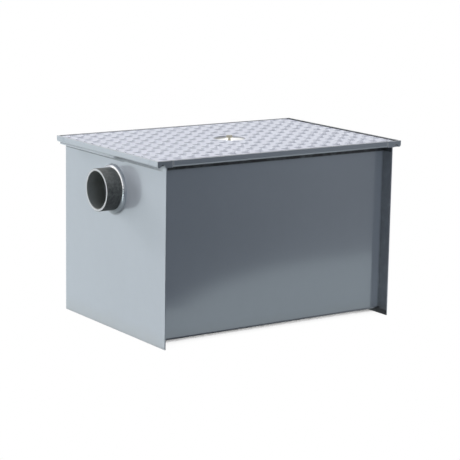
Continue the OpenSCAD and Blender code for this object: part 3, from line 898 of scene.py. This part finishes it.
def plated(name, tones, size, metallic, shaded=False):
    """Plated or turned metal with a mottled tone and, if shaded, painted shade under the cup's edge."""
    material, tree, shader, place = new_material(name)
    grain = place_group(tree, SPECKLE, Place=place, Size=size)
    tone = blend(tree, grain["Mask"], *tones)
    if shaded:
        # Painted shade under the cup's edge
        tone = blend(tree, place_group(tree, CUP_SHADE_MASK, Place=place)["Mask"], tone, SHADE_TONE)
    tree.links.new(tone, shader.inputs["Base Color"])
    tree.links.new(span(tree, grain["Mask"], 0.0, 1.0, *METAL_ROUGHNESS), shader.inputs["Roughness"])
    shader.inputs["Metallic"].default_value = metallic
    bump(tree, shader, grain["Height"], *METAL_RELIEF)
    return material


def black_rubber(name):
    """Moulded rubber with a dusty bloom."""
    material, tree, shader, place = new_material(name)
    grain = place_group(tree, SPECKLE, Place=place, Size=RUBBER_GRAIN)
    bloom = noise(tree, place, RUBBER_BLOOM)
    tone = blend(tree, grain["Mask"], RUBBER_DARK, RUBBER_LIGHT)
    tone = blend(tree, fade_in(tree, bloom, *BLOOM_EDGE, BLOOM), tone, RUBBER_DUSTY)
    tree.links.new(tone, shader.inputs["Base Color"])
    tree.links.new(span(tree, bloom, 0.3, 0.7, *RUBBER_ROUGHNESS), shader.inputs["Roughness"])
    bump(tree, shader, grain["Height"], *RUBBER_RELIEF)
    return material


MATERIALS = {
    "tank_paint": painted("tank_paint", TANK_GREY, mottle=0.10, scratch=0.06, gloss=0.7, coat=1.0,
                          dust=0.35, dust_reach=30 * MM, with_painted_light=True),
    "inside_paint": painted("inside_paint", INSIDE_GREY, mottle=0.25, scratch=0.2, gloss=1.2, coat=0.3,
                            dust=0.5, dust_reach=80 * MM),
    "tread_paint": painted("tread_paint", TREAD_GREY, mottle=0.12, scratch=0.2, gloss=0.9, coat=0.0,
                           shine=TREAD_SHINE),
    "bright_plate": plated("bright_plate", CUP_TONES, CUP_GRAIN, 1.0, shaded=True),
    "pipe_steel": mill_scale("pipe_steel"),
    "zinc": plated("zinc", ZINC_TONES, ZINC_GRAIN, 0.9),
    "brass": plated("brass", BRASS_TONES, BRASS_GRAIN, 1.0),
    "rubber": black_rubber("rubber"),
}


# Tank

def sheet_pieces():
    """Pieces that keep the solids' own forms, with rounded edges."""
    for edge, nodes in EDGES:
        for node in nodes:
            hand_over(edged_copy(node, edge), node)


def pipe_frame(node):
    """Centre of a stub's foot, its outward axis, radius and length."""
    low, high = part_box(node)
    side = 1 if high.x > 0 else -1
    foot_x = low.x if side > 0 else high.x
    centre = Vector((foot_x, (low.y + high.y) / 2, (low.z + high.z) / 2))
    return centre, Vector((side, 0, 0)), (high.z - low.z) / 2, high.x - low.x


def pipe_stub(node, weld):
    """Stub with its foot bevelled for the weld and its mouth's edges broken."""
    centre, axis, radius, length = pipe_frame(node)
    bore = radius - PIPE_WALL
    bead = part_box(weld)[1].z - centre.z - radius
    foot = [(bore, 0), (bore + PIPE_ROOT, 0), (radius, bead)]
    mouth = [(radius, length - MOUTH_CHAMFER), (radius - MOUTH_CHAMFER, length),
             (bore + MOUTH_CHAMFER, length), (bore, length - MOUTH_CHAMFER)]
    hand_over(turned(foot + mouth, centre, axis), node)


def pipe_bead(node, pipe):
    """Weld in the stub's bevel, with a quarter-round bead that has the ripples of hand welding."""
    centre, axis, radius, _ = pipe_frame(pipe)
    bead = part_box(node)[1].z - centre.z - radius
    profile = [(radius - PIPE_WALL + PIPE_ROOT, 0)] + arc(radius, 0, bead, 0, 90, BEAD_POINTS)
    piece = turned(profile, centre, axis, WELD_TURN_STEPS)
    for vertex in piece.data.vertices:
        out = vertex.co - centre
        along = out.dot(axis)
        across = out - axis * along
        swell = across.length - radius
        if swell > 0:
            turn = math.atan2(across.y, across.z)
            share = 1 - BEAD_RIPPLE_DEPTH * (1 + math.sin(BEAD_RIPPLES * turn))
            vertex.co = centre + axis * along + across.normalized() * (radius + swell * share)
    hand_over(piece, node)


def vent_tube(node):
    """Vent tube that stands on the outlet trap."""
    low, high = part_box(node)
    centre = Vector(((low.x + high.x) / 2, (low.y + high.y) / 2, low.z))
    radius = (high.x - low.x) / 2
    profile = ring_profile(radius - VENT_WALL, radius, high.z - low.z, FINE_EDGE)
    hand_over(turned(profile, centre), node)


# Cover

def tread_lug(turn):
    """One raised lug with pointed ends and a crowned top, at the origin."""
    deselect()
    bpy.ops.mesh.primitive_cylinder_add(vertices=LUG_SIDES, radius=1, depth=2 * LUG_SUNK)
    lug = bpy.context.object
    for vertex in lug.data.vertices:
        along, across = vertex.co.x, vertex.co.y
        vertex.co.x = along * LUG_LENGTH / 2
        vertex.co.y = across * abs(across) ** LUG_POINT * LUG_WIDTH / 2
        if vertex.co.z > 0:
            vertex.co.z = 0
    start_edit(lug, "FACE", "DESELECT")
    pick_faces(lug, lambda centre, normal: normal.z > FACING_UP)
    last_height, last_width = 0, 1
    for height, width in LUG_RINGS:
        rise = (0, 0, (height - last_height) * LUG_HEIGHT)
        bpy.ops.mesh.extrude_region_move(TRANSFORM_OT_translate={"value": rise})
        shrink = width / last_width
        bpy.ops.transform.resize(value=(shrink, shrink, 1))
        last_height, last_width = height, width
    end_edit()
    lug.rotation_euler.z = turn
    settle(lug)
    return lug


def lug_rows(shift, turn, low, high, level, clear):
    """Lattice of lugs that lie one way, left out where the cup is and cut off at the inlet edge."""
    margin = (LUG_LENGTH + LUG_WIDTH) / 2 * math.sin(LUG_TURN)
    first_x = math.ceil((low.x - margin) / LUG_PITCH - shift)
    last_x = math.floor((high.x - margin) / LUG_PITCH - shift)
    first_y = math.ceil((low.y + margin) / LUG_PITCH - shift)
    last_y = math.floor((high.y - margin) / LUG_PITCH - shift)
    lug = tread_lug(turn)
    lug.location = ((first_x + shift) * LUG_PITCH, (first_y + shift) * LUG_PITCH, level)
    settle(lug)
    for count, step in ((last_x - first_x, (LUG_PITCH, 0, 0)), (last_y - first_y, (0, LUG_PITCH, 0))):
        modify(lug, "ARRAY", count=count + 1, use_relative_offset=False,
               use_constant_offset=True, constant_offset_displace=step)

    def under_cup(centre, normal):
        x = (round(centre.x / LUG_PITCH - shift) + shift) * LUG_PITCH
        y = (round(centre.y / LUG_PITCH - shift) + shift) * LUG_PITCH
        return math.hypot(x, y) <= clear

    start_edit(lug, "FACE", "DESELECT")
    pick_faces(lug, under_cup)
    bpy.ops.mesh.delete(type="FACE")
    bpy.ops.mesh.select_all(action="SELECT")
    inlet_edge = (low.x + PLATE_EDGE, 0, 0)
    bpy.ops.mesh.bisect(plane_co=inlet_edge, plane_no=(-1, 0, 0), use_fill=True, clear_outer=True)
    end_edit()
    return lug


def tread_cover():
    """Cover plate with its hole for the cup and its two sets of lugs."""
    low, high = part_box("cover_plate")
    top = high.z - LUG_HEIGHT
    hole = CUP_HIGH.x + CUP_PLAY
    deselect()
    bpy.ops.mesh.primitive_cube_add(size=1, location=((low.x + high.x) / 2, 0, (low.z + top) / 2))
    plate = bpy.context.object
    plate.scale = (high.x - low.x, high.y - low.y, top - low.z)
    settle(plate)
    deselect()
    bpy.ops.mesh.primitive_cylinder_add(vertices=TURN_STEPS, radius=hole, depth=HOLE_CUTTER,
                                        location=(0, 0, top))
    cut(plate, bpy.context.object, "DIFFERENCE")
    soften(plate, PLATE_EDGE)
    clear = hole - CUP_PLAY + LUG_LENGTH / 2
    rows = [lug_rows(shift, turn, low, high, top, clear) for shift, turn in LUG_SETS]
    hand_over(join(plate, *rows), "cover_plate")


def dished_cup():
    """Cup whose side is part of a sphere, with a flat floor and a hole for the bolt."""
    low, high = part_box("bolt_cup")
    floor = low.z + CUP_WALL
    depth = high.z - floor
    centre_z = high.z + (CUP_R ** 2 - CUP_FLOOR_R ** 2 - depth ** 2) / (2 * depth)
    inner = math.hypot(CUP_R, centre_z - high.z)
    outer = inner + CUP_WALL

    def side(radius, bottom):
        heights = [bottom + (high.z - bottom) * i / (CUP_POINTS - 1) for i in range(CUP_POINTS)]
        return [(math.sqrt(max(radius ** 2 - (centre_z - z) ** 2, 0)), z - low.z) for z in heights]

    inside = side(inner, floor)
    outside = side(outer, low.z)
    profile = [(BOLT_HOLE_R, 0)] + outside + inside[::-1] + [(BOLT_HOLE_R, floor - low.z)]
    hand_over(turned(profile, Vector((0, 0, low.z))), "bolt_cup")


def flat_ring(node, inner, edge):
    """Flat ring on the bolt's axis."""
    low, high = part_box(node)
    profile = ring_profile(inner, high.x, high.z - low.z, edge)
    hand_over(turned(profile, Vector((0, 0, low.z))), node)


def bolt_head(top):
    """Hexagon head with chamfered corners on a round washer face."""
    half_side = math.pi / HEAD_SIDES
    corner = HEAD_FLAT / 2 / math.cos(half_side)
    height = HEAD_HEIGHT - FACE_HEIGHT
    deselect()
    bpy.ops.mesh.primitive_cylinder_add(vertices=HEAD_SIDES, radius=corner, depth=height,
                                        location=(0, 0, top - height / 2))
    head = bpy.context.object
    head.rotation_euler.z = half_side
    settle(head)
    flat = HEAD_FLAT / 2 * HEAD_FACE_SHARE
    skirt = corner * HEAD_SKIRT_SHARE
    slope = math.tan(HEAD_CHAMFER)
    drop = (corner - flat) * slope + (skirt - corner) * slope
    below = -HEAD_HEIGHT * 2
    cone = [(0, below), (skirt, below), (skirt, -drop), (flat, 0), (0, 0)]
    cut(head, turned(cone, Vector((0, 0, top)), UP, SMALL_TURN_STEPS), "INTERSECT")
    disc = [(0, 0), (flat, 0), (flat, FACE_HEIGHT), (0, FACE_HEIGHT)]
    return join(head, turned(disc, Vector((0, 0, top - HEAD_HEIGHT)), UP, SMALL_TURN_STEPS))


def bolt_thread(low, high):
    """Core of the shank with a ridge wound round it."""
    core_r = SHANK_R - THREAD_DEPTH
    rod = [(0, 0), (core_r - TIP_TAPER / 2, 0), (core_r, TIP_TAPER), (core_r, high - low), (0, high - low)]
    core = turned(rod, Vector((0, 0, low)), UP, SMALL_TURN_STEPS)
    half = THREAD_PITCH * THREAD_FOOT_SHARE
    base = core_r - THREAD_SUNK
    corners = ((base, -half), (SHANK_R, 0), (base, half))
    start = low + TIP_TAPER
    deselect()
    bpy.ops.mesh.primitive_circle_add(vertices=len(corners), fill_type="NOTHING")
    ridge = bpy.context.object
    for vertex, (radius, height) in zip(ridge.data.vertices, corners):
        vertex.co = (radius, 0, start + height)
    turns = int((high - start) / THREAD_PITCH) - 1
    modify(ridge, "SCREW", axis="Z", screw_offset=THREAD_PITCH, iterations=turns, steps=THREAD_STEPS,
           render_steps=THREAD_STEPS, use_merge_vertices=False)
    start_edit(ridge, "VERT")
    bpy.ops.mesh.fill_holes(sides=len(corners))
    face_outwards()
    end_edit()
    return join(core, ridge)


def cover_bolt():
    """Bolt that holds the cover: head and threaded shank."""
    low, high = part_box("cover_bolt")
    hand_over(join(bolt_head(high.z), bolt_thread(low.z, high.z - HEAD_HEIGHT)), "cover_bolt")


# Stage: floor, light and camera

def floor_tone(tree):
    """Tone of the floor to the camera: white, with the shadow of what covers it."""
    open_share = add(tree, "ShaderNodeAmbientOcclusion", Distance=FLOOR_SEARCH).outputs["AO"]
    faint = span(tree, open_share, 0.0, FLOOR_OPEN, FLOOR_FAINT, 1.0)
    narrow = span(tree, open_share, 0.0, FLOOR_NARROW, FLOOR_COVERED, 1.0)
    return calc(tree, "MINIMUM", faint, narrow)


def painted_reflection(tree):
    """Painted reflection: bright near the tank, dark past the near line, painted shadow under the tank."""
    axes = split(tree, tree.nodes.new("ShaderNodeTexCoord").outputs["Object"])
    back = span(tree, axes["X"], NEAR_LINE_TO, NEAR_LINE_FROM, NEAR_LINE_FROM - NEAR_LINE_TO, 0.0)
    curve = product(tree, back, back, NEAR_LINE_CURVE)
    past = calc(tree, "SUBTRACT", axes["Y"], calc(tree, "ADD", curve, NEAR_LINE_AT))
    near = fade_in(tree, past, -NEAR_LINE_SOFT, NEAR_LINE_SOFT)
    slant = calc(tree, "MULTIPLY", calc(tree, "SUBTRACT", axes["Y"], FRONT_WALL), LIGHTER_SLANT)
    along = fade_in(tree, calc(tree, "ADD", axes["X"], slant), -LIGHTER_REACH, LIGHTER_REACH)
    dark = blend(tree, along, REFLECTION_DARK, REFLECTION_LIGHTER)
    # Painted shadow of the tank in the painted reflection
    reach_x = calc(tree, "SUBTRACT", calc(tree, "ABSOLUTE", axes["X"]), UNDER_X)
    reach_y = calc(tree, "SUBTRACT", calc(tree, "ABSOLUTE", axes["Y"]), UNDER_Y)
    clear = fade_in(tree, most(tree, reach_x, reach_y), 0.0, UNDER_SOFT)
    return blend(tree, product(tree, near, clear), dark, REFLECTION_BRIGHT)


def floor_material():
    """Pale floor: white to the camera, dim in its bounced light, a painted reflection to glossy rays."""
    material = bpy.data.materials.new("studio_floor")
    material.use_nodes = True
    tree = material.node_tree
    tree.nodes.clear()
    path = tree.nodes.new("ShaderNodeLightPath").outputs
    shown = add(tree, "ShaderNodeEmission", Color=WHITE, Strength=floor_tone(tree)).outputs[0]
    bounce = add(tree, "ShaderNodeBsdfDiffuse", Color=FLOOR_BOUNCE).outputs[0]
    # The floor glows with the painted reflection for glossy rays only
    reflected = add(tree, "ShaderNodeEmission", Color=painted_reflection(tree)).outputs[0]
    direct = mix_shaders(tree, path["Is Camera Ray"], bounce, shown)
    surface = mix_shaders(tree, path["Is Glossy Ray"], direct, reflected)
    add(tree, "ShaderNodeOutputMaterial", Surface=surface)
    return material


def studio_floor():
    """Plain floor under the tank."""
    deselect()
    bpy.ops.mesh.primitive_plane_add(size=FLOOR_SIZE)
    floor = bpy.context.object
    floor.name = "studio_floor"
    floor.data.materials.append(floor_material())


def studio_world():
    """White backdrop for the camera and for reflections, dim sky light for the rest."""
    world = bpy.data.worlds.new("studio_world")
    bpy.context.scene.world = world
    world.use_nodes = True
    tree = world.node_tree
    tree.nodes.clear()
    path = tree.nodes.new("ShaderNodeLightPath").outputs
    seen = most(tree, path["Is Camera Ray"], path["Is Glossy Ray"])
    backdrop = add(tree, "ShaderNodeBackground", Color=blend(tree, seen, AMBIENT, WHITE)).outputs[0]
    add(tree, "ShaderNodeOutputWorld", Surface=backdrop)


def studio_lamps():
    """Soft lamps far away."""
    for name, (towards, share, spread, colour, mirrored) in LAMPS.items():
        lamp = bpy.data.lights.new(name, "SUN")
        lamp.energy = share * math.pi
        lamp.angle = math.radians(spread)
        lamp.color = colour
        holder = bpy.data.objects.new(name, lamp)
        holder.visible_glossy = mirrored
        holder.rotation_euler = Vector(towards).to_track_quat("Z", "Y").to_euler()
        bpy.context.scene.collection.objects.link(holder)


def studio_camera():
    """Camera that stands where the photograph was taken from."""
    camera = bpy.data.cameras.new("photo_camera")
    camera.sensor_width = SENSOR
    camera.lens = CAMERA_LENS
    holder = bpy.data.objects.new("photo_camera", camera)
    level = (CAMERA_AIM - CAMERA_PLACE).to_track_quat("-Z", "Y").to_matrix().to_4x4()
    turn = Matrix.Rotation(CAMERA_ROLL, 4, "Z")
    holder.matrix_world = Matrix.Translation(CAMERA_PLACE) @ level @ turn
    bpy.context.scene.collection.objects.link(holder)
    bpy.context.scene.camera = holder


def build():
    """Makes all pieces and the stage."""
    sheet_pieces()
    for end in ("inlet", "outlet"):
        pipe_stub(end + "_pipe", end + "_pipe_weld")
        pipe_bead(end + "_pipe_weld", end + "_pipe")
    vent_tube("air_relief_tube")
    tread_cover()
    dished_cup()
    flat_ring("bolt_seal", BOLT_HOLE_R, SEAL_EDGE)
    flat_ring("bolt_washer", BOLT_HOLE_R, WASHER_EDGE)
    flat_ring("bolt_retainer", SHANK_R + RETAINER_PLAY, RETAINER_EDGE)
    cover_bolt()
    studio_floor()
    studio_world()
    studio_lamps()
    studio_camera()
    bpy.context.scene.view_settings.view_transform = "Standard"


build()
